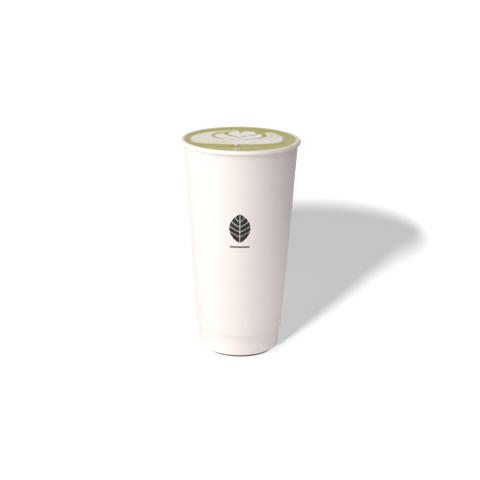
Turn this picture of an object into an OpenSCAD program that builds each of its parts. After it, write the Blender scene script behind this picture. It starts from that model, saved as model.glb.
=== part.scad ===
// Tall double-walled paper cup filled to the brim with matcha latte.
// Millimetres. The cup stands on Z = 0 with its axis on Z.

/* [Cup] */
// Height from the table to the top of the rolled rim
cup_height = 162.5; // [120:0.5:180]
// Outside diameter of the rolled rim
rim_diameter = 90; // [80:0.5:100]
// Outside diameter of the foot that the cup stands on
foot_diameter = 60.5; // [50:0.5:70]
// Thickness of the paper of every blank
paper = 0.4; // [0.3:0.05:0.6]

/* [Rim] */
// Outside diameter of the rolled rim's round section
roll_diameter = 3.9; // [3:0.1:5]
// Angle that the paper turns through in the roll, from the inner wall round to its free end
roll_turn = 315; // [250:5:330]

/* [Foot] */
// Height of the recess under the base disc
recess_height = 8; // [6:0.5:12]
// Height of the hem that is folded up inside the foot
hem_height = 6; // [4:0.5:7]
// Chamfer on the foot's outer and inner lower edge
foot_chamfer = 0.3; // [0.1:0.05:0.35]

/* [Outer wall] */
// Air gap between the inner cup and the outer wall
air_gap = 1.05; // [0.7:0.05:1.5]
// Height of the outer wall's lower edge above the table
outer_wall_start = 16.2; // [12:0.2:24]

/* [Drink] */
// Depth of the drink's surface below the top of the rim
headspace = 0.5; // [0.3:0.1:1.5]

/* [Hidden] */

// Clearance between neighbouring blanks, and round the drink
slip = 0.05;

// Largest angle between two points of an arc
arc_step = 15;

rim_radius = rim_diameter / 2;
foot_radius = foot_diameter / 2;
roll_radius = roll_diameter / 2;

// The roll's centre, as radius and height
roll_centre = [rim_radius - roll_radius, cup_height - roll_radius];

// The inner cup's outer face is one cone from the foot to the roll's centre
inner_top_radius = rim_radius - roll_diameter + paper;
taper = (inner_top_radius - foot_radius) / roll_centre[1];

// The foot holds the wall, the base disc's flange and the hem, side by side
hem_inset = 3 * paper + 2 * slip;

// The outer wall's lower edge turns in until it meets the inner cup
outer_offset = air_gap + paper;
turn_radius = outer_offset - slip;
outer_wall_end = cup_height - roll_diameter - slip;

drink_start = recess_height + paper + slip;
drink_level = cup_height - headspace;

// Radius of the inner cup's outer face at a height
function inner_face(z) = foot_radius + taper * z;

// Radius of the outer wall's outer face at a height
function outer_face(z) = inner_face(z) + outer_offset;

// Point on the inner cup's cone, moved inwards from its outer face
function inside(z, inset) = [inner_face(z) - inset, z];

// Points of an arc round a centre, from one angle to another
function arc(centre, radius, from, to) =
    let (steps = ceil(abs(to - from) / arc_step))
    [for (i = [0 : steps])
        let (angle = from + (to - from) * i / steps)
        centre + radius * [cos(angle), sin(angle)]];

// Inner cup: one strip of paper that is hemmed at the foot and rolled outwards at the rim
module inner_cup() {
    free_end = 180 - roll_turn;
    foot = [
        inside(foot_chamfer, 0),
        inside(0, foot_chamfer),
        inside(0, hem_inset - foot_chamfer),
        inside(foot_chamfer, hem_inset)
    ];
    hem = [
        inside(hem_height, hem_inset),
        inside(hem_height, hem_inset - paper),
        inside(paper, hem_inset - paper),
        inside(paper, paper)
    ];
    color("ghostwhite")
        rotate_extrude()
            polygon(concat(
                foot,
                hem,
                arc(roll_centre, roll_radius, 180, free_end),
                arc(roll_centre, roll_radius - paper, free_end, 180)
            ));
}

// Base disc: raised floor of the cup, its flange turned down into the hem
module base_disc() {
    outer_inset = paper + slip;
    inner_inset = outer_inset + paper;
    flange_start = paper + slip;
    color("white")
        rotate_extrude()
            polygon([
                [0, recess_height],
                inside(recess_height, inner_inset),
                inside(flange_start, inner_inset),
                inside(flange_start, outer_inset),
                inside(recess_height + paper, outer_inset),
                [0, recess_height + paper]
            ]);
}

// Outer wall: second cone of paper, its lower edge turned in above the foot
module outer_wall() {
    turn_height = outer_wall_start + turn_radius;
    turn_centre = [outer_face(turn_height) - turn_radius, turn_height];
    color("snow")
        rotate_extrude()
            polygon(concat(
                [
                    [outer_face(outer_wall_end) - paper, outer_wall_end],
                    [outer_face(outer_wall_end), outer_wall_end]
                ],
                arc(turn_centre, turn_radius, 0, -90),
                arc(turn_centre, turn_radius - paper, -90, 0)
            ));
}

// Drink: fills the inner cup from the base disc to its level at the roll
module drink() {
    shore_radius = roll_radius + slip;
    shore_angle = 180 - asin((drink_level - roll_centre[1]) / shore_radius);
    color("darkkhaki")
        rotate_extrude()
            polygon(concat(
                [[0, drink_start], inside(drink_start, paper + slip)],
                arc(roll_centre, shore_radius, 180, shore_angle),
                [[0, drink_level]]
            ));
}

inner_cup();
base_disc();
outer_wall();
drink();
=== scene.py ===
import logging
import math
from dataclasses import dataclass, field
from enum import Enum

import bpy
import numpy as np
from mathutils import Matrix, Vector


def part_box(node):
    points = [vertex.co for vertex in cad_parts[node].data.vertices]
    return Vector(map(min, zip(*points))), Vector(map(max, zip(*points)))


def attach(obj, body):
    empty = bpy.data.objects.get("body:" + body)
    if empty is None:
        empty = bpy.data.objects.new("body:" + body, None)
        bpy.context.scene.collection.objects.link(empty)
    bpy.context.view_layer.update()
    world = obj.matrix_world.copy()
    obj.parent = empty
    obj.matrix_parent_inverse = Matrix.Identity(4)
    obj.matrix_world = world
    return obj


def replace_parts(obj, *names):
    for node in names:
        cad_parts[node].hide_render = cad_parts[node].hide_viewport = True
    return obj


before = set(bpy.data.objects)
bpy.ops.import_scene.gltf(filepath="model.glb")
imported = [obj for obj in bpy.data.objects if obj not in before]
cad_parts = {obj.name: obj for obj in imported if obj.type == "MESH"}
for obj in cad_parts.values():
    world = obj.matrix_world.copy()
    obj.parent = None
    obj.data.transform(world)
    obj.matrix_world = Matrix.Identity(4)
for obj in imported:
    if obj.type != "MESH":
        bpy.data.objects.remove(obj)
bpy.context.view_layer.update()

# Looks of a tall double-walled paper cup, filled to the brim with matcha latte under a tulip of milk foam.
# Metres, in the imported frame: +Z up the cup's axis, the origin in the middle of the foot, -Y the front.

Array = np.ndarray
Pair = tuple[float, float]
Triple = tuple[float, float, float]
Piece = bpy.types.Object
Material = bpy.types.Material
Socket = bpy.types.NodeSocket
Tree = bpy.types.NodeTree

MM = 0.001
FULL_TURN = 2 * np.pi
LOG = logging.getLogger("matcha_latte")


class Slot(Enum):
    """The record's material slots."""

    CUP = "cup_paper"
    BASE = "base_paper"
    WALL = "wall_paper"
    MATCHA = "matcha"


# ---- numbers and grids


def smooth(low: float, high: float, x: Array) -> Array:
    """Smooth step: 0 at low, 1 at high, even if low is the larger, and 3t^2 - 2t^3 of the share t between."""
    share = np.clip((x - low) / (high - low), 0.0, 1.0)
    return share * share * (3 - 2 * share)


def bell(x: Array, middle: float, width: float) -> Array:
    """Bell curve: e to the minus of the squared distance from the middle, in widths."""
    return np.exp(-(((x - middle) / width) ** 2))


def cloud(x: Array, y: Array, seed: int) -> Array:
    """Smooth random field: three layers of value noise, each twice as fine and half as strong as the last.

    Args:
        x: across, in cells of the coarsest layer.
        y: up, in the same cells.
        seed: picks the field.

    Returns:
        Values from -1 to 1.
    """
    cells = 64
    table = np.random.default_rng(seed).random((cells, cells))
    total = np.zeros(np.broadcast(x, y).shape)
    for layer in range(3):
        size = 2**layer
        column, row = np.floor(x * size), np.floor(y * size)
        across, up = smooth(0, 1, x * size - column), smooth(0, 1, y * size - row)
        i, j = column.astype(int) + 7 * layer, row.astype(int)
        left, right, near, far = i % cells, (i + 1) % cells, j % cells, (j + 1) % cells
        low = table[left, near] * (1 - across) + table[right, near] * across
        high = table[left, far] * (1 - across) + table[right, far] * across
        total += (low * (1 - up) + high * up - 0.5) * 2 / size
    return total / 1.75


def meet(first: Array, second: Array, rounding: float) -> Array:
    """Smooth maximum: half the sum plus half the root of the squared difference and squared rounding."""
    return 0.5 * (first + second + np.sqrt((first - second) ** 2 + rounding**2))


def arc(centre: Pair, radius: float | Array, start: float, end: float, count: int) -> Array:
    """Arc in degrees, in even steps: the centre plus the radius or radii times cosine and sine."""
    angle = np.radians(np.linspace(start, end, count))
    return np.stack([centre[0] + radius * np.cos(angle), centre[1] + radius * np.sin(angle)], axis=1)


def line(start: Pair, end: Pair, count: int) -> Array:
    """Evenly spaced points from start to end, without the end itself."""
    share = np.linspace(0, 1, count, endpoint=False)[:, None]
    return np.array(start) * (1 - share) + np.array(end) * share


@dataclass(frozen=True)
class Section:
    """Closed section of a sheet of paper: its points, how far along the sheet they lie, and on which face."""

    points: Array
    along: Array
    side: Array


def paper_section(path: Array, thickness: float) -> Section:
    """Section of a sheet: its path moved half a thickness to each side, with half circles round both ends.

    Args:
        path: the sheet's middle line, one row of radius and height for each point.
        thickness: the sheet's thickness.

    Returns:
        The closed section. Its side is 1 on the left of the path, -1 on the right, and 0 at the ends.
    """
    step = np.gradient(path, axis=0)
    step /= np.linalg.norm(step, axis=1, keepdims=True)
    normal = np.stack([-step[:, 1], step[:, 0]], axis=1)
    half = thickness / 2
    turn = np.radians([45, 90, 135])[:, None]
    cap_end = path[-1] + half * (np.cos(turn) * normal[-1] + np.sin(turn) * step[-1])
    cap_start = path[0] + half * (-np.cos(turn) * normal[0] - np.sin(turn) * step[0])
    points = np.concatenate([path + half * normal, cap_end, (path - half * normal)[::-1], cap_start])
    length = np.concatenate([[0], np.cumsum(np.linalg.norm(np.diff(path, axis=0), axis=1))])
    along = np.concatenate([length, np.full(3, length[-1]), length[::-1], np.zeros(3)])
    side = np.concatenate([np.ones(len(path)), np.zeros(3), -np.ones(len(path)), np.zeros(3)])
    return Section(points, along, side)


def polar(radius: Array, angle: Array, height: Array) -> Array:
    """Points at a radius, an angle from +X and a height: (r cos a, r sin a, z)."""
    radius, angle, height = np.broadcast_arrays(radius, angle, height)
    return np.stack([radius * np.cos(angle), radius * np.sin(angle), height], axis=-1)


def ring_quads(rows: int, columns: int, close_rows: bool, close_columns: bool) -> Array:
    """Quads between neighbouring points of a grid, which are numbered row by row.

    Args:
        rows: number of rows.
        columns: number of points in a row.
        close_rows: whether the last row joins the first.
        close_columns: whether a row's ends join.

    Returns:
        Four point numbers for each quad.
    """
    row = np.arange(rows if close_rows else rows - 1)[:, None]
    column = np.arange(columns if close_columns else columns - 1)[None]
    here, above = row * columns, (row + 1) % rows * columns
    after = (column + 1) % columns
    return np.stack([here + column, here + after, above + after, above + column], axis=-1).reshape(-1, 4)


def fan(centre: int, ring: Array) -> Array:
    """Quads that close an even ring of points round a centre point, each over two of the ring's steps."""
    first, middle, last = ring[0::2], ring[1::2], np.roll(ring, -2)[0::2]
    return np.stack([np.full(len(first), centre), first, middle, last], axis=1)


def outward(points: Array, quads: Array) -> Array:
    """The quads, turned over if the volume that they close comes out negative.

    Args:
        points: the mesh's points.
        quads: four point numbers for each quad.

    Returns:
        Quads whose faces point outwards.
    """
    a, b, c, d = (points[quads[:, k]] for k in range(4))
    volume = np.einsum("ij,ij->", a, np.cross(b, c)) + np.einsum("ij,ij->", a, np.cross(c, d))
    return quads if volume > 0 else quads[:, ::-1]


def disc_grid(cells: int) -> tuple[Array, Array, Array, Array]:
    """Square grid pressed into the unit disc: a point's larger coordinate gives its radius, and the ratio of
    the smaller one to the larger gives its angle within a quarter of the disc.

    Args:
        cells: number of cells along each side.

    Returns:
        Radii, angles, quads, and the outermost ring's point numbers in order of angle.
    """
    axis = np.linspace(-1, 1, cells + 1)
    v, u = (grid.ravel() for grid in np.meshgrid(axis, axis, indexing="ij"))
    flat = np.abs(u) >= np.abs(v)
    radius = np.where(flat, u, v)
    ratio = np.where(flat, v, u) / np.where(radius == 0, 1, radius)
    angle = np.where(flat, ratio * np.pi / 4, np.pi / 2 - ratio * np.pi / 4)
    angle = np.mod(angle + np.where(radius < 0, np.pi, 0), FULL_TURN)
    radius = np.abs(radius)
    rim = np.flatnonzero(radius > 1 - 1e-9)
    return radius, angle, ring_quads(cells + 1, cells + 1, False, False), rim[np.argsort(angle[rim])]


def slab(outer: Array, inner: Array) -> tuple[Array, Array]:
    """Closed thin body between two grids of points.

    Args:
        outer: rows and columns of points on the outer face.
        inner: the points behind them.

    Returns:
        Its points and outward quads.
    """
    rows, columns = outer.shape[:2]
    front = ring_quads(rows, columns, False, False)
    number = np.arange(rows * columns).reshape(rows, columns)
    edge = np.concatenate([number[0], number[1:, -1], number[-1, -2::-1], number[-2:0:-1, 0]])
    after, back = np.roll(edge, -1), rows * columns
    band = np.stack([edge, edge + back, after + back, after], axis=1)
    points = np.concatenate([outer.reshape(-1, 3), inner.reshape(-1, 3)])
    quads = np.concatenate([front, front[:, ::-1] + back, band])
    return points, outward(points - points.mean(axis=0), quads)


def in_scene(name: str, data: bpy.types.ID) -> Piece:
    """Puts a mesh, a light or a camera into the scene.

    Args:
        name: the new object's name.
        data: what it holds.

    Returns:
        The new object.
    """
    thing = bpy.data.objects.new(name, data)
    bpy.context.scene.collection.objects.link(thing)
    return thing


def add_piece(
    name: str, points: Array, quads: Array, material: Material, slot: Slot, sharp: float = 50
) -> Piece:
    """Makes a smooth mesh piece that rides on the part's one body.

    Args:
        name: the piece's name.
        points: its points.
        quads: four point numbers for each face.
        material: its finish.
        slot: the record's slot for that finish.
        sharp: the angle in degrees above which an edge stays sharp.

    Returns:
        The new piece.
    """
    mesh = bpy.data.meshes.new(name)
    mesh.from_pydata(points.astype(np.float32), [], outward(points, quads).astype(np.int32))
    mesh.shade_smooth()
    mesh.set_sharp_from_angle(angle=math.radians(sharp))
    mesh.materials.append(material)
    piece = in_scene(name, mesh)
    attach(piece, "root")
    LOG.info("%s: %d faces, %s", name, len(quads), slot.value)
    return piece


def add_values(piece: Piece, name: str, values: Array) -> None:
    """Stores one number for each of a piece's points, for its material to read."""
    attribute = piece.data.attributes.new(name, "FLOAT", "POINT")
    attribute.data.foreach_set("value", values.astype(np.float32))


# ---- finishes


@dataclass
class NodeSheet:
    """Short ways to lay nodes in a node tree."""

    tree: Tree

    def fill(self, node: bpy.types.Node, inputs: dict) -> None:
        """Sets a node's inputs, or joins other nodes' sockets to them. Colours get full alpha.

        Args:
            node: the node.
            inputs: values or sockets, by the input's name or number.
        """
        for key, value in inputs.items():
            socket = node.inputs[key]
            if isinstance(value, Socket):
                self.tree.links.new(value, socket)
            else:
                socket.default_value = (*value, 1.0) if socket.type == "RGBA" else value

    def add(self, kind: str, inputs: dict | None = None, **settings: object) -> bpy.types.Node:
        """Adds a node.

        Args:
            kind: its type, without the ShaderNode prefix.
            inputs: values or sockets, by the input's name or number.
            settings: its own settings.

        Returns:
            The new node.
        """
        node = self.tree.nodes.new("ShaderNode" + kind)
        for key, value in settings.items():
            setattr(node, key, value)
        self.fill(node, inputs or {})
        return node

    def place(self) -> Socket:
        """Where a point lies on its object."""
        return self.add("TexCoord").outputs["Object"]

    def math(self, operation: str, *values: object) -> Socket:
        """Result of a Math node on up to three values or sockets."""
        return self.add("Math", dict(enumerate(values)), operation=operation).outputs[0]

    def times(self, first: object, second: object, plus: object = 0.0) -> Socket:
        """Product of two values or sockets, plus a third."""
        return self.math("MULTIPLY_ADD", first, second, plus)

    def vector(self, operation: str, *values: object, out: str = "Vector") -> Socket:
        """Result of a Vector Math node on two vectors."""
        return self.add("VectorMath", dict(enumerate(values)), operation=operation).outputs[out]

    def step(self, value: Socket, low: float, high: float) -> Socket:
        """Smooth step of a value from low to high."""
        inputs = {"Value": value, "From Min": low, "From Max": high}
        return self.add("MapRange", inputs, interpolation_type="SMOOTHSTEP").outputs[0]

    def mix(self, share: object, first: object, second: object) -> Socket:
        """Colour between first and second, by share."""
        return self.add("Mix", {0: share, 6: first, 7: second}, data_type="RGBA").outputs[2]

    def noise(self, place: Socket, scale: float, detail: float = 2, twist: float = 0) -> Socket:
        """Noise at a place, with scale in cells per metre."""
        inputs = {"Vector": place, "Scale": scale, "Detail": detail, "Distortion": twist}
        return self.add("TexNoise", inputs).outputs[0]

    def attribute(self, name: str) -> Socket:
        """One of the piece's own stored numbers."""
        return self.add("Attribute", attribute_name=name).outputs["Fac"]

    def bump(self, height: Socket, distance: float, strength: float) -> Socket:
        """Normal of a fine relief."""
        return self.add("Bump", {"Strength": strength, "Distance": distance, "Height": height}).outputs[0]

    def by_ray(self, hidden: Socket, seen: Socket) -> Socket:
        """One shader for the camera and another for all other rays."""
        ray = self.add("LightPath").outputs["Is Camera Ray"]
        return self.add("MixShader", {0: ray, 1: hidden, 2: seen}).outputs[0]


def new_material(name: str) -> tuple[Material, NodeSheet, bpy.types.Node]:
    """Makes a node material.

    Args:
        name: the material's name.

    Returns:
        The material, its sheet of nodes and its Principled shader.
    """
    material = bpy.data.materials.new(name)
    material.use_nodes = True
    return material, NodeSheet(material.node_tree), material.node_tree.nodes["Principled BSDF"]


def paper_group() -> Tree:
    """Cup board, which every paper and the print on it show: cloudy tone and the relief of matted fibres.

    Returns:
        A group with the strengths Clouds and Fibres, which puts out Tone and Height.
    """
    group = bpy.data.node_groups.new("cup_board", "ShaderNodeTree")
    for name, way in (("Clouds", "INPUT"), ("Fibres", "INPUT"), ("Tone", "OUTPUT"), ("Height", "OUTPUT")):
        group.interface.new_socket(name, in_out=way, socket_type="NodeSocketFloat")
    sheet = NodeSheet(group)
    entry, leave = group.nodes.new("NodeGroupInput"), group.nodes.new("NodeGroupOutput")
    place = sheet.place()
    fine = sheet.noise(place, 1900, 5, 2.5)
    speck = sheet.step(sheet.noise(place, 950, 2, 1.5), 0.66, 0.74)
    tone = sheet.times(sheet.noise(place, 160, 3), entry.outputs["Clouds"])
    tone = sheet.times(speck, 0.35, tone)
    relief = sheet.times(sheet.noise(place, 420, 2), 0.8, fine)
    height = sheet.times(relief, entry.outputs["Fibres"])
    sheet.fill(leave, {"Tone": sheet.times(fine, 0.3, tone), "Height": height})
    return group


@dataclass(frozen=True)
class PaperFinish:
    """Cup board, bare or under a thin film."""

    board: Tree
    name: str
    light: Triple
    dark: Triple
    roughness: float
    clouds: float = 1.0
    fibres: float = 1.0
    film: float = 0.0
    film_roughness: float = 0.3
    gloss: float = 0.35
    relief: float = 0.06 * MM

    def make(self) -> Material:
        """Makes the material: two close tones mixed by the board's clouds, and its fibres as relief.

        Returns:
            The new material.
        """
        material, sheet, shader = new_material(self.name)
        board = sheet.add("Group", node_tree=self.board)
        sheet.fill(board, {"Clouds": self.clouds, "Fibres": self.fibres})
        tone = sheet.step(board.outputs["Tone"], 0.2, 1.2)
        looks = {
            "Base Color": sheet.mix(tone, self.light, self.dark),
            "Normal": sheet.bump(board.outputs["Height"], self.relief, 0.35),
            "Roughness": self.roughness,
            "Coat Weight": self.film,
            "Coat Roughness": self.film_roughness,
            "Specular IOR Level": self.gloss,
        }
        sheet.fill(shader, looks)
        return material


@dataclass(frozen=True)
class LatteFinish:
    """Matcha latte under wet foam. The drink's own numbers say where the drawing lies."""

    green: Triple = (0.595, 0.560, 0.315)
    green_dark: Triple = (0.515, 0.480, 0.225)
    deep: Triple = (0.465, 0.425, 0.055)
    foam: Triple = (0.925, 0.880, 0.870)
    cream: Triple = (0.875, 0.825, 0.680)
    # film: yellow of the wet film at the shore, partly a painted glow of light on its lit side
    film: Triple = (0.860, 0.790, 0.340)
    hole: Triple = (0.400, 0.375, 0.110)
    ragged: float = 0.10
    relief: float = 0.12 * MM
    gloss: float = 0.06

    def make(self) -> Material:
        """Makes the material: green and foam mixed at the drawing's edge, which fine noise makes ragged, then
        the deep green streaks and shore, and pinholes of burst bubbles.

        Returns:
            The new material.
        """
        material, sheet, shader = new_material("matcha_latte")
        place = sheet.place()
        grain = sheet.noise(place, 700, 4, 0.8)
        feather = sheet.math("ADD", grain, sheet.times(sheet.noise(place, 260, 2, 1.5), 0.7))
        feather = sheet.math("SUBTRACT", feather, 0.85)
        edge = sheet.times(feather, self.ragged, sheet.attribute("foam"))
        covered = sheet.step(edge, 0.435, 0.565)
        mottle = sheet.step(sheet.noise(place, 230, 4, 0.4), 0.3, 0.7)
        green = sheet.mix(mottle, self.green, self.green_dark)
        # the film layer is partly a painted glow of light at the back right of the shore
        for layer, tint in (("deep", self.deep), ("pale", self.cream), ("film", self.film)):
            green = sheet.mix(sheet.attribute(layer), green, tint)
        foam = sheet.mix(sheet.attribute("cream"), self.foam, self.cream)
        bubbles = sheet.add("TexVoronoi", {"Vector": place, "Scale": 1500, "Randomness": 1.0})
        pin = sheet.step(bubbles.outputs["Distance"], 0.22, 0.06)
        rare = sheet.step(sheet.noise(place, 380, 1), 0.52, 0.66)
        hole = sheet.times(sheet.times(pin, rare), 0.55)
        relief = sheet.times(hole, -1.4, sheet.times(grain, 0.5))
        looks = {
            "Base Color": sheet.mix(hole, sheet.mix(covered, green, foam), self.hole),
            "Normal": sheet.bump(relief, self.relief, 0.5),
            "Roughness": sheet.times(covered, 0.12, 0.42),
            "Specular IOR Level": self.gloss,
        }
        sheet.fill(shader, looks)
        return material


@dataclass(frozen=True)
class BubbleFinish:
    """Thin wet skin of a bubble on the foam."""

    light: Triple = (0.580, 0.560, 0.340)
    dark: Triple = (0.470, 0.445, 0.215)
    roughness: float = 0.3
    gloss: float = 0.25

    def make(self) -> Material:
        """Makes the material: two close greens in small patches, and glossy.

        Returns:
            The new material.
        """
        material, sheet, shader = new_material("bubble_skin")
        tone = sheet.step(sheet.noise(sheet.place(), 900, 2), 0.35, 0.65)
        sheet.fill(shader, {"Base Color": sheet.mix(tone, self.light, self.dark)})
        sheet.fill(shader, {"Roughness": self.roughness, "Specular IOR Level": self.gloss})
        return material


# ---- the cup


@dataclass(frozen=True)
class CupSizes:
    """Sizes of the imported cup, read from its nodes."""

    height: float
    rim_radius: float
    foot_radius: float
    wall_low: float
    wall_high: float
    wall_top_radius: float
    base_top: float
    drink_level: float
    paper: float = 0.4 * MM
    slip: float = 0.05 * MM

    @classmethod
    def read(cls) -> "CupSizes":
        """Reads the sizes from the nodes' boxes, and the foot's radius from the inner cup's lowest points.

        Returns:
            The sizes.
        """
        cup, wall, base, drink = (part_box(n) for n in ("inner_cup", "outer_wall", "base_disc", "drink"))
        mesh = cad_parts["inner_cup"].data
        points = np.empty(len(mesh.vertices) * 3, np.float32)
        mesh.vertices.foreach_get("co", points)
        x, y, z = points.reshape(-1, 3).T
        lowest = np.abs(z - 0.3 * MM) < 0.2 * MM
        foot = float(np.hypot(x[lowest], y[lowest]).max())
        return cls(cup[1].z, cup[1].x, foot, wall[0].z, wall[1].z, wall[1].x, base[1].z, drink[1].z)

    @property
    def roll_radius(self) -> float:
        """Radius of the rolled rim's round section."""
        return (self.height - self.wall_high - self.slip) / 2

    @property
    def roll_centre(self) -> Pair:
        """Centre of the rolled rim's section, as radius and height."""
        return self.rim_radius - self.roll_radius, self.height - self.roll_radius

    @property
    def taper(self) -> float:
        """How much the cup's radius grows for each unit of height."""
        top = self.roll_centre[0] - self.roll_radius + self.paper
        return (top - self.foot_radius) / self.roll_centre[1]

    @property
    def wall_gap(self) -> float:
        """Distance between the outer faces of the inner cup and the outer wall."""
        return self.wall_top_radius - self.foot_radius - self.taper * self.wall_high

    def cone(self, height: float | Array, inset: float = 0) -> float | Array:
        """Radius of the inner cup's outer face at a height, less an inset."""
        return self.foot_radius + self.taper * height - inset


@dataclass(frozen=True)
class Seam:
    """Lapped side seam: its middle's angle in degrees, its width, and the radius where it is that wide."""

    middle: float
    width: float
    radius: float

    def turn(self, angle: Array) -> Array:
        """How far angles lie round the cup from the seam's middle, in radians."""
        return np.mod(angle - math.radians(self.middle) + np.pi, FULL_TURN) - np.pi

    def lap(self, angle: Array) -> Array:
        """How far the seam stands proud: 0 to 1 over 2 mm, 1 over its width, and 0 past its cut edge."""
        across, half = self.turn(angle) * self.radius, self.width / 2
        return smooth(-half - 2 * MM, -half, across) * smooth(half + 0.05 * MM, half - 0.1 * MM, across)

    def columns(self, count: int) -> Array:
        """Even angles round the cup, with extra ones where the cut edge needs them.

        Args:
            count: number of even angles.

        Returns:
            The angles in order, as a column.
        """
        half = self.width / 2
        places = np.array([half - 0.12 * MM, half - 0.03 * MM, half + 0.06 * MM])
        extra = np.mod(math.radians(self.middle) + places / self.radius, FULL_TURN)
        return np.sort(np.concatenate([np.arange(count) * FULL_TURN / count, extra]))[:, None]


@dataclass
class InnerCup:
    """The inner cup: one blank, hemmed at the foot, lapped at its side and rolled outwards at the rim."""

    sizes: CupSizes
    finish: PaperFinish
    hem_height: float = 6.0 * MM
    fold_radius: float = 0.45 * MM
    roll_turn: float = 315
    roll_tightening: float = 0.22 * MM
    roll_dip: float = 0.16 * MM
    seam: float = 97
    seam_width: float = 6.5 * MM
    ribs: int = 96
    rib_depth: float = 0.14 * MM
    columns: int = 576

    def path(self) -> Array:
        """Middle line of the paper: down from the hem's edge, round the fold, up the wall, round the roll.

        Returns:
            Points as radius and height.
        """
        s = self.sizes
        half = s.paper / 2
        lowest = self.fold_radius + half
        hem_inset = 2 * self.fold_radius + half
        up = 180 - math.degrees(math.atan(s.taper))
        roll = s.roll_radius - half
        hem_edge = (s.cone(self.hem_height, hem_inset), self.hem_height)
        hem = line(hem_edge, (s.cone(lowest, hem_inset), lowest), 12)
        fold = arc((s.cone(lowest, half + self.fold_radius), lowest), self.fold_radius, 180, 360, 9)[:-1]
        step = (s.cone(s.wall_low, half), s.wall_low)
        skirt = line((s.cone(lowest, half), lowest), step, 8)
        wall = line(step, tuple(arc(s.roll_centre, roll, up, up, 1)[0]), 6)
        tight = roll - self.roll_tightening * smooth(0.45, 1, np.linspace(0, 1, 44))
        curl = arc(s.roll_centre, tight, up, 180 - self.roll_turn, 44)
        return np.concatenate([hem, fold, skirt, wall, curl])

    def build(self) -> Piece:
        """Builds the cup by carrying the paper's section round the axis.

        The foot's outer face steps out over the side seam, the hem's inner face is pressed into upright ribs
        by a cosine of the angle, and the roll dips along both edges of the seam.

        Returns:
            The piece.
        """
        s = self.sizes
        section = paper_section(self.path(), s.paper)
        seam = Seam(self.seam, self.seam_width, s.foot_radius)
        angle = seam.columns(self.columns)
        radius, height = section.points[:, 0][None], section.points[:, 1][None]
        outside = (section.side < 0)[None] & (height < s.wall_high) & (radius > s.cone(height, s.paper))
        moved = radius + 0.7 * s.paper * seam.lap(angle) * outside * smooth(0, 1.5 * MM, height)
        hem = (section.along < self.hem_height)[None] & (section.side > 0)[None]
        press = 0.5 - 0.5 * np.cos(angle * self.ribs)
        top = self.hem_height - 0.2 * MM
        band = smooth(0.8 * MM, 1.6 * MM, height) * smooth(top, top - MM, height)
        moved = moved + self.rib_depth * press * band * hem
        across = np.abs(np.abs(seam.turn(angle)) * s.rim_radius - self.seam_width / 2)
        dip = self.roll_dip * smooth(0.55 * MM, 0, across)
        centre = s.roll_centre
        from_centre = np.stack([moved - centre[0], height + 0 * moved - centre[1]])
        distance = np.linalg.norm(from_centre, axis=0)
        on_roll = (distance > s.roll_radius - 0.05 * MM) & (height > centre[1] - s.roll_radius)
        shrink = 1 - dip * on_roll / np.maximum(distance, MM)
        moved, height = centre[0] + from_centre[0] * shrink, centre[1] + from_centre[1] * shrink
        points = polar(moved, angle, height).reshape(-1, 3)
        quads = ring_quads(len(angle), len(section.points), True, True)
        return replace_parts(add_piece("rolled_cup", points, quads, self.finish.make(), Slot.CUP), "inner_cup")


@dataclass
class BaseDisc:
    """The raised floor, a dished disc whose edge turns down into the hem."""

    sizes: CupSizes
    finish: PaperFinish
    corner: float = 0.9 * MM
    dish: float = 0.25 * MM
    ring_inset: float = 5.0 * MM
    ring_width: float = 0.8 * MM
    ring_depth: float = 0.25 * MM
    columns: int = 288

    def build(self) -> Piece:
        """Builds the disc: its section, with a shallow pressed ring, carried round the axis and closed at
        both poles.

        Returns:
            The piece.
        """
        s = self.sizes
        half = s.paper / 2
        flange = s.paper + s.slip + half
        top = s.base_top - half
        edge = s.cone(top, flange)
        share = np.linspace(0, 1, 40, endpoint=False)[1:]
        reach = share * (edge - self.corner)
        press = self.ring_depth * bell(reach, edge - self.ring_inset, self.ring_width)
        flat = np.stack([reach, top - self.dish * (1 - share**2) - press], axis=1)
        turn = arc((edge - self.corner, top - self.corner), self.corner, 90, 0, 9)
        low = (s.cone(flange, flange), flange)
        skirt = line(tuple(turn[-1]), low, 8)[1:]
        section = paper_section(np.concatenate([flat, turn, skirt, [low]]), s.paper)
        ring = section.points[:-3]
        angle = (np.arange(self.columns) * FULL_TURN / self.columns)[:, None]
        grid = polar(ring[:, 0][None], angle, ring[:, 1][None])
        poles = np.array([[0, 0, ring[0, 1]], [0, 0, ring[-1, 1]]])
        points = np.concatenate([grid.reshape(-1, 3), poles])
        body = ring_quads(self.columns, len(ring), True, False)
        first = np.arange(self.columns) * len(ring)
        north, south = len(points) - 2, len(points) - 1
        quads = np.concatenate([body, fan(north, first)[:, ::-1], fan(south, first + len(ring) - 1)])
        piece = add_piece("base_disc_dished", points, quads, self.finish.make(), Slot.BASE)
        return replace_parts(piece, "base_disc")


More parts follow.
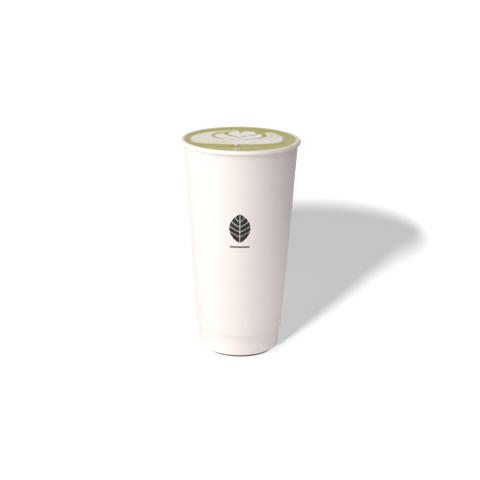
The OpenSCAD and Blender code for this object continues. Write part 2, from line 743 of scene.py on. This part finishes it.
@dataclass
class OuterWall:
    """The outer wall: a second cone of paper, lapped at the back, whose lower edge turns in."""

    sizes: CupSizes
    finish: PaperFinish
    seam: float = 84
    seam_width: float = 9 * MM
    seam_flat: float = 0.22 * MM
    turn_radius: float = 0.6 * MM
    edge_rise: float = 0.2 * MM
    edge_tilt: float = 0.7 * MM
    wave: float = 0.06 * MM
    held: float = 12 * MM
    columns: int = 720

    @property
    def lapped(self) -> Seam:
        """The wall's seam, as wide as it is halfway up."""
        return Seam(self.seam, self.seam_width, self.sizes.cone(self.sizes.height / 2))

    def relief(self, angle: Array, height: Array) -> Array:
        """How far the wall stands off its cone: the seam's lap, a slight flat beside it, and long shallow
        waves, which are cosines of the angle and the height.

        Args:
            angle: angles from +X.
            height: heights.

        Returns:
            Distances outwards.
        """
        s, seam = self.sizes, self.lapped
        flat = -self.seam_flat * bell(seam.turn(angle), 0, 0.22)
        waves = np.cos(3 * angle + 40 * height) * np.cos(28 * height + 1)
        waves = waves + 0.6 * np.cos(5 * angle - 55 * height)
        free = smooth(s.wall_low, s.wall_low + self.held, height)
        free = free * smooth(s.wall_high, s.wall_high - self.held, height)
        return s.paper * seam.lap(angle) + (flat + self.wave * waves) * free

    def face(self, angle: Array, height: Array) -> Array:
        """Radius of the wall's outer face at an angle and a height."""
        return self.sizes.cone(height) + self.sizes.wall_gap + self.relief(angle, height)

    def build(self) -> Piece:
        """Builds the wall by carrying its section round the axis, moved out by its relief. The lower edge
        runs slightly aslant, by a cosine of the angle that fades out upwards.

        Returns:
            The piece.
        """
        s = self.sizes
        half = s.paper / 2
        inset = half - s.wall_gap
        low, high = s.wall_low + self.turn_radius + half, s.wall_high - half
        turn = arc((s.cone(low, inset) - self.turn_radius, low), self.turn_radius, -90, 0, 9)
        last = (s.cone(high, inset), high)
        rise = line((s.cone(low, inset), low), last, 34)[1:]
        section = paper_section(np.concatenate([turn, rise, [last]]), s.paper)
        angle = self.lapped.columns(self.columns)
        height = section.points[:, 1][None]
        outer = np.where(section.side < 0, 1.0, 0.6)[None]
        radius = section.points[:, 0][None] + self.relief(angle, height) * outer
        slant = (self.edge_rise - self.edge_tilt * np.cos(angle)) * smooth(low + 30 * MM, low, height)
        points = polar(radius, angle, height + slant).reshape(-1, 3)
        quads = ring_quads(len(angle), len(section.points), True, True)
        piece = add_piece("outer_wall_sleeve", points, quads, self.finish.make(), Slot.WALL)
        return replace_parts(piece, "outer_wall")


@dataclass
class LeafPrint:
    """Plain print on the front: an upright leaf with its veins left bare, over a short rule."""

    wall: OuterWall
    finish: PaperFinish
    middle: float = 103.7 * MM
    width: float = 15.6 * MM
    height: float = 22.0 * MM
    roundness: float = 0.66
    blades: int = 5
    vein: float = 0.42 * MM
    vein_starts: Pair = (0.02, 0.74)
    vein_rise: float = 0.20
    rule_middle: float = 89.3 * MM
    rule_width: float = 14.6 * MM
    rule_height: float = 1.1 * MM
    proud: float = 0.05 * MM

    def on_wall(self, across: Array, height: Array, proud: float) -> Array:
        """Points of the print, wrapped on the wall: the distance across becomes an angle from the front."""
        angle = across / self.wall.sizes.cone(height, -self.wall.sizes.wall_gap) - np.pi / 2
        return polar(self.wall.face(angle, height) + proud, angle, height)

    def blade(self, number: int, side: int) -> tuple[Array, Array]:
        """One field of the leaf between two veins, which climb outwards. The leaf's half width is a power of
        the sine of the share of its height.

        Args:
            number: the field, counted from the foot.
            side: 1 on the right, -1 on the left.

        Returns:
            Across and height of a grid of points.
        """
        out, up = np.meshgrid(np.linspace(0, 1, 17), np.linspace(0, 1, 15), indexing="ij")
        starts = np.linspace(*self.vein_starts, self.blades)
        gap = self.vein / self.height
        rise = self.vein_rise * out**1.2
        last = number == self.blades - 1
        low = np.zeros_like(out) if number == 0 else starts[number] + gap / 2 + rise
        high = np.ones_like(out) if last else starts[number + 1] - gap / 2 + rise
        share = low + (np.minimum(high, 1) - low) * up
        half = self.width / 2 * np.sin(np.pi * np.clip(share, 0, 1)) ** self.roundness
        inner = np.minimum(self.vein / 2, half)
        return side * (inner + (half - inner) * out), self.middle + (share - 0.5) * self.height

    def build(self) -> Piece:
        """Builds the leaf's fields and the rule as thin layers of ink that start just inside the paper.

        Returns:
            The piece.
        """
        grids = [self.blade(number, side) for number in range(self.blades) for side in (-1, 1)]
        across, up = np.meshgrid(np.linspace(-0.5, 0.5, 33), np.linspace(-0.5, 0.5, 5), indexing="ij")
        grids.append((across * self.rule_width, self.rule_middle + up * self.rule_height))
        points, quads, count = [], [], 0
        for grid in grids:
            layer, faces = slab(self.on_wall(*grid, self.proud), self.on_wall(*grid, -self.proud))
            points.append(layer)
            quads.append(faces + count)
            count += len(layer)
        points, quads = np.concatenate(points), np.concatenate(quads)
        return add_piece("leaf_print", points, quads, self.finish.make(), Slot.WALL)


# ---- the drink


@dataclass(frozen=True)
class Pour:
    """One pour of foam, a rounded oval: its middle, and its reach to the left, right, back and front."""

    middle: float
    left: float
    right: float
    back: float
    front: float
    power: float = 2.0

    def outside(self, across: Array, up: Array) -> Array:
        """Distance outside the oval, about, and negative inside: the power mean of the two shares, less one.

        Args:
            across: distances to the right.
            up: distances to the back.

        Returns:
            Distances in millimetres.
        """
        wide = np.where(across < 0, self.left, self.right)
        tall = np.where(up < self.middle, self.front, self.back)
        share = np.abs(across / wide) ** self.power + np.abs((up - self.middle) / tall) ** self.power
        return (share ** (1 / self.power) - 1) * np.minimum(wide, tall)


@dataclass(frozen=True)
class Tulip:
    """The foam drawing, in millimetres from the drink's middle, +Y to the back.

    Three pours push each other into nested crescents, and a stroke from the back to the front then pulls
    them into a heart, a pair of leaves and a pair of wings on one stem.
    """

    axis: float = -1.65
    lean: float = 0.078
    pull_back: float = 15.0
    pull_front: float = 8.0
    lift: float = 3.5
    sway: float = 0.35
    heart: Pour = Pour(17.2, 9.0, 11.8, 10.6, 10.2, 2.3)
    heart_gap: Pour = Pour(18.0, 11.9, 13.5, 13.4, 13.8, 2.1)
    leaves: Pour = Pour(8.8, 18.7, 17.6, 14.8, 14.8, 1.8)
    leaves_gap: Pour = Pour(9.9, 21.8, 20.6, 17.4, 16.9, 1.85)
    leaf_top: float = 19.6
    wings: Pour = Pour(2.0, 35.6, 33.0, 29.3, 23.4, 2.0)
    wings_low: Pour = Pour(2.0, 35.6, 33.4, 29.3, 21.6, 3.1)
    stem_end: float = -26.5

    def read(self, x: Array, y: Array) -> dict[str, Array]:
        """Reads the drawing. The stroke is undone first: a point comes from further back, by the pull times e
        to the minus of its distance from the stroke, and the pours are read where it came from.

        Args:
            x: distances to the right.
            y: distances to the back.

        Returns:
            foam, the distance inside the drawing; cream, the share of cream in the foam; deep, the share of
            deep green beside it; pale, the share of thin foam over the green.
        """
        x = x + self.sway * cloud(x / 8, y / 8, 11)
        y = y + self.sway * cloud(x / 8, y / 8, 21)
        u = x - self.axis - self.lean * y
        width = 1.75 - 0.75 * smooth(8, 20, y)
        pull = self.pull_front + (self.pull_back - self.pull_front) * smooth(0, 18, y)
        stroke = pull * np.exp(-np.abs(u) / width) * smooth(36, 30, y)
        up = y + stroke - self.lift * bell(u, 0, 21) * smooth(28, 12, y)
        ring = self.leaves_gap.outside(u, up)
        edge = np.where(y < self.wings.middle, self.wings_low.outside(u, y), self.wings.outside(u, y))
        streak = cloud(ring / 1.5, np.arctan2(up - 10, u) * 2.2, 41)
        heart = self.heart.outside(u, up)
        leaves = meet(self.leaves.outside(u, up), -self.heart_gap.outside(u, up), 0.5)
        leaves = meet(leaves, 0.8 * (y - self.leaf_top + 0.10 * np.maximum(u - 8, 0)), 1.8)
        wings = meet(edge * (1 - 0.6 * smooth(-6, -15, y)), -ring, 0.5)
        open_right = np.maximum(18.8 - u, y - 24.5) * smooth(17, 20, y) - 4 * smooth(20, 17, y)
        wings = meet(wings, np.where(u > 0, open_right, 0.9 * (y - 22.5 - 0.08 * np.abs(u + 20))), 1.6)
        veil = -0.62 + 0.75 * streak * smooth(2, 6, ring) * smooth(2, -10, u)
        wings = np.maximum(wings, np.maximum(self.ripples(u, up, ring), veil))
        cap_low = 21.5 + 6.5 * smooth(-15, -5, u)
        cap = np.where(u < 0, meet(0.6 * edge, 0.5 * (cap_low - y), 0.5), 9)
        thin = -0.12 - 0.14 * smooth(-10, -24, u) + 0.8 * smooth(-4.5, -0.3, u) + 0.15 * streak
        cap = np.maximum(cap, thin)
        stem = np.abs(u) - 0.2 - 1.0 * smooth(7, -13, y) * smooth(self.stem_end, self.stem_end + 9, y)
        stem = np.maximum(stem, 0.5 * np.maximum(y - 5, self.stem_end - y))
        vein = -0.22 - 1.1 * np.abs(u) + 0.45 * smooth(12, 19, y) - 0.3 * smooth(-6, -14, y)
        body = np.minimum(np.minimum(heart, leaves), np.minimum(wings, stem))
        inside = -np.minimum(np.maximum(body, vein), cap)
        right = 0.1 + 0.55 * smooth(-9, -1, edge) + 0.75 * bell(ring, 3.4, 1.3) * smooth(2, 9, u)
        outer = np.where(u < 0, 0.25 + 0.75 * smooth(2, 10, ring), right)
        cream = (outer + 0.55 * streak) * smooth(0, 2.5, ring) * smooth(0, 2.5, stem) * (heart > 0)
        cream = np.clip(np.where((cap < 0) & (body > -0.3), 1.0, cream), 0, 1)
        beside = smooth(8.5, 1.5, np.abs(u + 0.5)) * smooth(-16.5, -20.5, y) * smooth(-34, -25, y)
        fringe = 0.7 * bell(np.maximum(-inside, 0), 0, 2.0) * smooth(-10, -18, y)
        gaps = 0.45 * smooth(0, -1, edge) * smooth(22, 18, y)
        deep = np.clip(np.maximum(0.95 * beside, fringe) + gaps, 0, 1)
        pale = 0.5 * bell(u, 0.5, 2.1) * smooth(-28, -32, y) * smooth(-41, -37, y)
        return {"foam": inside, "cream": cream, "deep": deep, "pale": pale}

    def ripples(self, u: Array, up: Array, ring: Array) -> Array:
        """Fine green lines that run along the wings, at two distances from the gap round the leaves.

        Args:
            u: distances to the right of the stroke.
            up: distances to the back, with the stroke undone.
            ring: distances from the gap.

        Returns:
            Positive numbers on a line, and negative ones beside it.
        """
        right = smooth(2, 12, u) * smooth(-13, -2, up)
        left = smooth(-16, -24, u) * smooth(-12, 2, up)
        near = bell(ring, 3.1, 1.05) * (0.84 * right + 0.46 * left)
        return near + bell(ring, 7.0, 1.05) * (0.78 * right + 0.45 * left) - 0.86


@dataclass
class Drink:
    """The drink: one body from the base disc to its surface, which carries the foam drawing."""

    sizes: CupSizes
    finish: LatteFinish
    tulip: Tulip = field(default_factory=Tulip)
    shore_height: float = 0.04 * MM
    reach_in: float = 0.10 * MM
    foam_height: float = 0.16 * MM
    cells: int = 284

    @property
    def shore(self) -> Pair:
        """Radius and height at which the drink's surface meets the rolled rim."""
        centre, up = self.sizes.roll_centre, self.sizes.roll_radius - self.shore_height
        return centre[0] - math.sqrt(self.sizes.roll_radius**2 - up**2), centre[1] + up

    def height_at(self, x: Array, y: Array, inside: Array) -> Array:
        """Height of the surface: the level, a meniscus that climbs the rim as e to the minus of the distance
        from it, the foam's own thickness, and a faint unevenness.

        Args:
            x: distances to the right.
            y: distances to the back.
            inside: millimetres inside the foam drawing.

        Returns:
            Heights.
        """
        radius, top = self.shore
        level, mm_x, mm_y = self.sizes.drink_level, x / MM, y / MM
        gap = np.maximum(radius - np.hypot(x, y), 0)
        climb = (top - level) * np.exp(-gap / (0.8 * MM))
        rough = 0.03 * MM * cloud(mm_x / 2.2, mm_y / 2.2, 61) + 0.05 * MM * cloud(mm_x / 9, mm_y / 9, 62)
        body = self.foam_height * smooth(-0.9, 0.9, inside)
        return level + climb + (body + rough) * smooth(0, 2.5 * MM, gap)

    def dress(self, piece: Piece, drawing: dict[str, Array], x: Array, y: Array) -> None:
        """Stores the drawing on the surface's points, which come first, with deeper green at the back and
        along the shore, and a yellow film on the shore, partly a wet film and partly a painted glow of light,
        strongest at the back right where the lights fall on the rim.

        Args:
            piece: the drink.
            drawing: what the tulip reads.
            x: distances to the right.
            y: distances to the back.
        """
        gap = self.shore[0] - np.hypot(x, y)
        back = smooth(-10 * MM, 35 * MM, y)
        shore = smooth(6 * MM, 0.6 * MM, gap) * (0.12 + 0.22 * back) + 0.36 * back
        # lit: the back right of the shore, where the lights fall; it makes the film there a painted glow
        lit = smooth(-15 * MM, 25 * MM, x + 0.9 * y)
        values = {
            "foam": np.clip(0.5 + drawing["foam"] / 10, 0, 1),
            "cream": drawing["cream"],
            "deep": np.clip(np.maximum(drawing["deep"], shore), 0, 1),
            "pale": drawing["pale"],
            # film: wet film at the shore, with a painted glow of light towards the back right
            "film": smooth(2.8 * MM, 0.3 * MM, gap) * (0.2 + 0.8 * lit),
        }
        below = np.zeros(len(piece.data.vertices) - len(x))
        for name, numbers in values.items():
            add_values(piece, name, np.concatenate([numbers, below]))

    def build(self) -> Piece:
        """Builds the surface on a disc grid, then the side, which follows the rolled rim and the cup's wall
        just inside the paper, and closes the bottom in the base disc.

        Returns:
            The piece.
        """
        s = self.sizes
        share, angle, top_quads, rim = disc_grid(self.cells)
        reach = self.shore[0] + self.reach_in
        x, y = share * reach * np.cos(angle), share * reach * np.sin(angle)
        drawing = self.tulip.read(x / MM, y / MM)
        surface = np.stack([x, y, self.height_at(x, y, drawing["foam"])], axis=1)
        centre, inner = s.roll_centre, s.roll_radius - self.reach_in
        start = math.degrees(math.acos((reach - centre[0]) / inner))
        bend = arc(centre, inner, start, 180 - math.degrees(math.atan(s.taper)), 9)
        floor = s.base_top - self.reach_in
        foot = s.cone(floor, s.paper - self.reach_in)
        wall = line(tuple(bend[-1]), (foot, floor), 5)[1:]
        low = np.array([[foot, floor], [foot * 0.6, floor], [foot * 0.2, floor]])
        side = np.concatenate([bend, wall, low])
        rings = polar(side[:, 0][:, None], angle[rim][None], side[:, 1][:, None])
        points = np.concatenate([surface, rings.reshape(-1, 3), [[0, 0, floor]]])
        number = np.arange(rings[..., 0].size).reshape(len(side), -1) + len(surface)
        band = np.concatenate([rim[None], number]).ravel()[ring_quads(len(side) + 1, len(rim), False, True)]
        quads = np.concatenate([top_quads, band[:, ::-1], fan(len(points) - 1, number[-1])[:, ::-1]])
        piece = add_piece("matcha_latte_drink", points, quads, self.finish.make(), Slot.MATCHA)
        self.dress(piece, drawing, x, y)
        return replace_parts(piece, "drink")


@dataclass
class Froth:
    """Small standing bubbles along the rim and in loose clusters on the green."""

    drink: Drink
    finish: BubbleFinish
    count: int = 340
    clusters: int = 16
    spread: float = 0.12
    smallest: float = 0.12 * MM
    largest: float = 0.48 * MM
    furthest: float = 8 * MM
    squash: float = 0.8
    rings: int = 5
    sides: int = 8
    seed: int = 5

    def ball(self) -> tuple[Array, Array]:
        """One squashed ball of radius 1: rings of points between two poles.

        Returns:
            Its points and quads.
        """
        tilt = np.linspace(0, np.pi, self.rings + 2)[1:-1][:, None]
        turn = (np.arange(self.sides) * FULL_TURN / self.sides)[None]
        body = polar(np.sin(tilt), turn, self.squash * np.cos(tilt)).reshape(-1, 3)
        north, south, last = len(body), len(body) + 1, len(body) - self.sides
        caps = [fan(north, np.arange(self.sides))[:, ::-1], fan(south, np.arange(last, len(body)))]
        quads = np.concatenate([ring_quads(self.rings, self.sides, False, True), *caps])
        return np.concatenate([body, [[0, 0, self.squash], [0, 0, -self.squash]]]), quads

    def build(self) -> Piece:
        """Builds every bubble as a squashed ball that sits half in the surface, all in one mesh.

        Returns:
            The piece.
        """
        draw = np.random.default_rng(self.seed)
        clusters = draw.uniform(0, FULL_TURN, self.clusters)
        angle = clusters[draw.integers(0, self.clusters, self.count)]
        angle = angle + draw.normal(0, self.spread, self.count)
        size = self.smallest + (self.largest - self.smallest) * draw.random(self.count) ** 3
        inset = 0.15 * MM + 1.2 * size + draw.exponential(1.5 * MM, self.count)
        away = self.drink.shore[0] - np.minimum(inset, self.furthest)
        x, y = away * np.cos(angle), away * np.sin(angle)
        inside = self.drink.tulip.read(x / MM, y / MM)["foam"]
        centre = np.stack([x, y, self.drink.height_at(x, y, inside) - 0.25 * size], axis=1)
        ball, faces = self.ball()
        points = (ball[None] * size[:, None, None] + centre[:, None]).reshape(-1, 3)
        quads = (faces[None] + (np.arange(self.count) * len(ball))[:, None, None]).reshape(-1, 4)
        return add_piece("rim_bubbles", points, quads, self.finish.make(), Slot.MATCHA, 180)


# ---- the studio


@dataclass(frozen=True)
class Softbox:
    """A soft light: azimuth in degrees to the right of the front, elevation in degrees above the floor, size,
    the light that it gives a white surface facing it, the height it aims at, and whether gloss mirrors it."""

    name: str
    azimuth: float
    elevation: float
    wide: float
    tall: float
    strength: float
    tint: Triple = (1.0, 1.0, 1.0)
    distance: float = 1.2
    aim: float = 0.083
    mirrored: bool = True


@dataclass
class Studio:
    """Pale floor, soft lights and camera.

    The shade numbers place a painted soft shade on the floor beside the foot, along the shadow's edge; the
    contact numbers place a painted contact shadow, a thin dark line under the front of the foot.
    """

    foot_radius: float
    floor_half: float = 6.0
    glow: float = 0.437
    # the contact numbers place a painted contact shadow on the floor under the foot's front
    contact_shadow_inset: float = 5.0 * MM
    contact_shadow_width: float = 1.6 * MM
    contact_shadow_shift: Pair = (0.7 * MM, -6.5 * MM)
    shade_start: Pair = (17.1 * MM, -10.3 * MM)
    shade_turn: float = 31.0
    shade_length: float = 190.0 * MM
    shade_core: float = 5.0 * MM
    shade_reach: float = 42.0 * MM
    shade_depth: float = 0.62
    sky: float = 0.13
    lamp_place: Triple = (-0.0480, -0.1850, 0.2614)
    lamp_size: Pair = (0.016, 0.062)
    lamp_strength: float = 0.75
    focal_length: float = 84.8
    elevation: float = 17.42
    distance: float = 0.86691
    roll: float = 0.588
    target: Triple = (0.00021, 0, 0.08285)
    boxes: tuple[Softbox, ...] = (
        Softbox("key_softbox", -47, 8, 1.8, 0.45, 1.03, (1.0, 1.0, 0.983)),
        Softbox("side_softbox", -100, 10, 0.8, 0.7, 0.10),
        Softbox("low_softbox", 65, 1, 0.20, 0.05, 0.217, distance=0.15, aim=0.02, mirrored=False),
        Softbox("top_softbox", -20, 70, 1.0, 1.0, 0.68),
        Softbox("back_softbox", 178, 12, 1.6, 0.7, 0.62, mirrored=False),
    )

    def shade(self, sheet: NodeSheet) -> Socket:
        """Soft shade on the floor: a smooth step of the distance from a line along the shadow's edge, which
        starts beside the foot, and weaker along that line.

        Args:
            sheet: the floor's nodes.

        Returns:
            The share of light that it takes.
        """
        turn = math.radians(self.shade_turn)
        edge = (math.sin(turn), math.cos(turn), 0.0)
        ahead = sheet.vector("SUBTRACT", sheet.place(), (*self.shade_start, 0.0))
        along = sheet.vector("DOT_PRODUCT", ahead, edge, out="Value")
        kept = sheet.math("MINIMUM", sheet.math("MAXIMUM", along, 0.0), self.shade_length)
        nearest = sheet.add("VectorMath", {0: edge, "Scale": kept}, operation="SCALE").outputs[0]
        aside = sheet.vector("DISTANCE", ahead, nearest, out="Value")
        depth = sheet.times(kept, -self.shade_depth / self.shade_length, self.shade_depth)
        return sheet.times(sheet.step(aside, self.shade_reach, self.shade_core), depth)

    def floor(self) -> Piece:
        """White floor that gives the cup less light than the camera, with the painted soft shade beside the
        foot. The painted contact shadow is a smooth step of the distance from a point in front of the axis.

        Returns:
            The floor.
        """
        material, sheet, shader = new_material("studio_floor")
        sheet.tree.nodes.remove(shader)
        # painted contact shadow: a thin dark ring under the foot's front, which also dims the floor's glow
        away = sheet.vector("DISTANCE", sheet.place(), (*self.contact_shadow_shift, 0.0), out="Value")
        reach = self.foot_radius - self.contact_shadow_inset
        near = sheet.step(away, reach + self.contact_shadow_width, reach + 0.3 * self.contact_shadow_width)
        soft = self.shade(sheet)
        ground = sheet.mix(soft, (0.9, 0.9, 0.9), (0, 0, 0))
        ground = sheet.mix(sheet.times(near, 0.97), ground, (0.08, 0.08, 0.08))
        lift = sheet.times(near, -self.glow, self.glow)
        looks = {
            "Base Color": ground,
            "Roughness": 1.0,
            "Specular IOR Level": 0.0,
            "Emission Color": (1, 1, 1),
            "Emission Strength": sheet.times(soft, 0.08, lift),
        }
        seen = sheet.add("BsdfPrincipled", looks).outputs[0]
        bounced = sheet.add("BsdfDiffuse", {"Color": (0.585, 0.585, 0.60)}).outputs[0]
        sheet.fill(sheet.tree.nodes["Material Output"], {0: sheet.by_ray(bounced, seen)})
        side = np.linspace(-self.floor_half, self.floor_half, 9)
        y, x = np.meshgrid(side, side, indexing="ij")
        mesh = bpy.data.meshes.new("studio_floor")
        mesh.from_pydata(np.stack([x, y, 0 * x], axis=-1).reshape(-1, 3), [], ring_quads(9, 9, False, False))
        mesh.materials.append(material)
        floor = in_scene("studio_floor", mesh)
        return floor

    def sky_light(self) -> None:
        """Even soft light from all round, which the camera sees as white."""
        world = bpy.data.worlds.new("studio_sky")
        bpy.context.scene.world = world
        world.use_nodes = True
        sheet = NodeSheet(world.node_tree)
        light = world.node_tree.nodes["Background"]
        sheet.fill(light, {"Color": (0.985, 0.99, 1.0), "Strength": self.sky})
        seen = sheet.add("Background", {"Color": (1, 1, 1), "Strength": 1.05})
        both = sheet.by_ray(light.outputs[0], seen.outputs[0])
        sheet.fill(world.node_tree.nodes["World Output"], {0: both})

    def lamp(self, name: str, shape: str, size: Pair, things: list[Piece]) -> Piece:
        """Adds a flat lamp that the camera doesn't see and that lights only some things.

        Args:
            name: its name.
            shape: its outline.
            size: its width and height.
            things: the things it lights.

        Returns:
            The lamp.
        """
        data = bpy.data.lights.new(name, "AREA")
        data.shape, data.size, data.size_y = shape, *size
        lamp = in_scene(name, data)
        lamp.visible_camera = False
        lit = bpy.data.collections.new(f"lit_by_{name}")
        for thing in things:
            lit.objects.link(thing)
        lamp.light_linking.receiver_collection = lit
        return lamp

    def softbox(self, box: Softbox, things: list[Piece]) -> None:
        """Rectangular soft light that faces the cup.

        Args:
            box: its place, size, strength and tint.
            things: what it lights.
        """
        a, e = math.radians(box.azimuth), math.radians(box.elevation)
        away = Vector((math.sin(a) * math.cos(e), -math.cos(a) * math.cos(e), math.sin(e)))
        light = self.lamp(box.name, "RECTANGLE", (box.wide, box.tall), things)
        light.data.energy = box.strength * math.pi**2 * box.distance**2
        light.data.color = box.tint
        light.visible_glossy = box.mirrored
        place = Vector((0, 0, box.aim)) + away * box.distance
        light.matrix_world = Matrix.Translation(place) @ away.to_track_quat("Z", "Y").to_matrix().to_4x4()

    def floor_lamp(self, floor: Piece) -> None:
        """Oval lamp, facing down, that draws the cup's shadow on the floor. Its strength grows as the fourth
        power of the distance, so that the floor is evenly bright.

        Args:
            floor: the floor.
        """
        light = self.lamp("floor_lamp", "ELLIPSE", self.lamp_size, [floor])
        light.location = self.lamp_place
        light.data.energy = 1.0
        light.data.use_nodes = True
        sheet = NodeSheet(light.data.node_tree)
        power = sheet.math("POWER", sheet.add("LightPath").outputs["Ray Length"], 4.0)
        strength = math.pi**2 * self.lamp_strength / self.lamp_place[2] ** 2
        sheet.fill(sheet.tree.nodes["Emission"], {"Strength": sheet.times(power, strength)})

    def camera(self) -> None:
        """Camera that looks down on the cup's front."""
        e, roll = math.radians(self.elevation), math.radians(self.roll)
        back, up = Vector((0, -math.cos(e), math.sin(e))), Vector((0, math.sin(e), math.cos(e)))
        right = Vector((1, 0, 0))
        across = right * math.cos(roll) + up * math.sin(roll)
        above = up * math.cos(roll) - right * math.sin(roll)
        data = bpy.data.cameras.new("camera")
        data.lens, data.sensor_width = self.focal_length, 36
        data.clip_start, data.clip_end = 0.01, 50
        camera = in_scene("camera", data)
        turn = Matrix((across, above, back)).transposed().to_4x4()
        camera.matrix_world = Matrix.Translation(Vector(self.target) + back * self.distance) @ turn
        bpy.context.scene.camera = camera

    def build(self, pieces: list[Piece]) -> None:
        """Sets up the studio round the finished pieces.

        Args:
            pieces: the object's pieces.
        """
        view = bpy.context.scene.view_settings
        view.view_transform, view.look = "Standard", "None"
        floor = self.floor()
        self.sky_light()
        self.floor_lamp(floor)
        for box in self.boxes:
            self.softbox(box, pieces)
        self.camera()


def main() -> None:
    """Builds the cup, the drink and the studio, and reports each piece."""
    logging.basicConfig(level=logging.INFO, format="%(name)s %(message)s")
    sizes, board = CupSizes.read(), paper_group()
    wall_paper = PaperFinish(board, "wall_paper", (0.875, 0.800, 0.765), (0.845, 0.768, 0.730), 0.62)
    film = {"clouds": 0.8, "fibres": 0.6, "film": 0.08}
    cup_paper = PaperFinish(board, "cup_paper", (0.875, 0.802, 0.770), (0.850, 0.775, 0.740), 0.50, **film)
    base_paper = PaperFinish(board, "base_paper", (0.840, 0.770, 0.720), (0.800, 0.725, 0.670), 0.70, 1, 1.3)
    ink = PaperFinish(board, "leaf_ink", (0.024, 0.020, 0.021), (0.034, 0.029, 0.030), 0.55, 1, 0.8)
    cup, base, wall = InnerCup(sizes, cup_paper), BaseDisc(sizes, base_paper), OuterWall(sizes, wall_paper)
    drink = Drink(sizes, LatteFinish())
    makers = (cup, base, wall, LeafPrint(wall, ink), drink, Froth(drink, BubbleFinish()))
    Studio(sizes.foot_radius).build([maker.build() for maker in makers])


if __name__ == "__main__":
    main()
